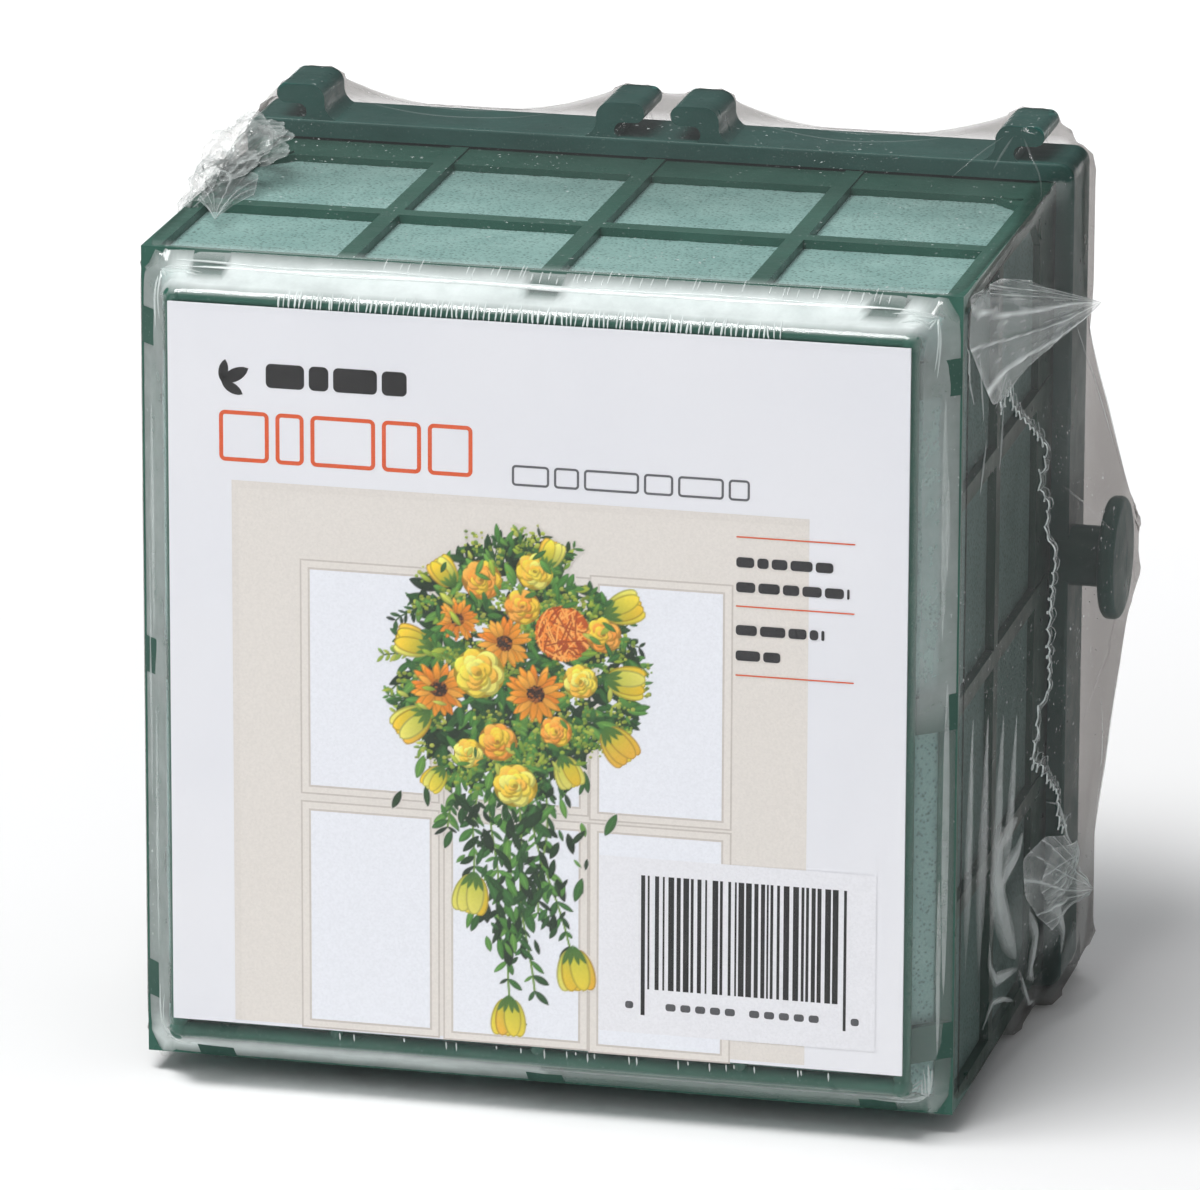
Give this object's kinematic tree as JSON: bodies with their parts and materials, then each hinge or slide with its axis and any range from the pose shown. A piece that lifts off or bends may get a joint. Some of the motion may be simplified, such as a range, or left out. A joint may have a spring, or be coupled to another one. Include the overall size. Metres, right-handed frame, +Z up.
{
  "type": "caged floral foam holder",
  "caption": "Block of floral foam in a moulded open cage with a hooked back tray, a printed front card and a sealed clear shrink film.",
  "frame": {"origin": "on the resting surface, in the middle of the footprint", "axes": "+X to the right seen from the card, +Y from the front card to the back tray, +Z up towards the tie hooks"},
  "size_m": [0.1442, 0.0896, 0.1343],
  "materials": {
    "tray_plastic": "smooth dark green moulded plastic",
    "cage_plastic": "smooth green moulded plastic",
    "foam": "matt fine open-celled foam with dark pores",
    "card": "white printed card with a light sheen",
    "film": "clear glossy shrink film with fine wrinkles"
  },
  "bodies": {
    "root": {"base_tray": "tray_plastic", "front_grille": "cage_plastic", "top_panel": "cage_plastic", "bottom_panel": "cage_plastic", "left_panel": "cage_plastic", "right_panel": "cage_plastic", "hinge_straps": "cage_plastic", "foam_brick": "foam", "label_card": "card", "film_wrap": "film"}
  },
  "joints": []
}
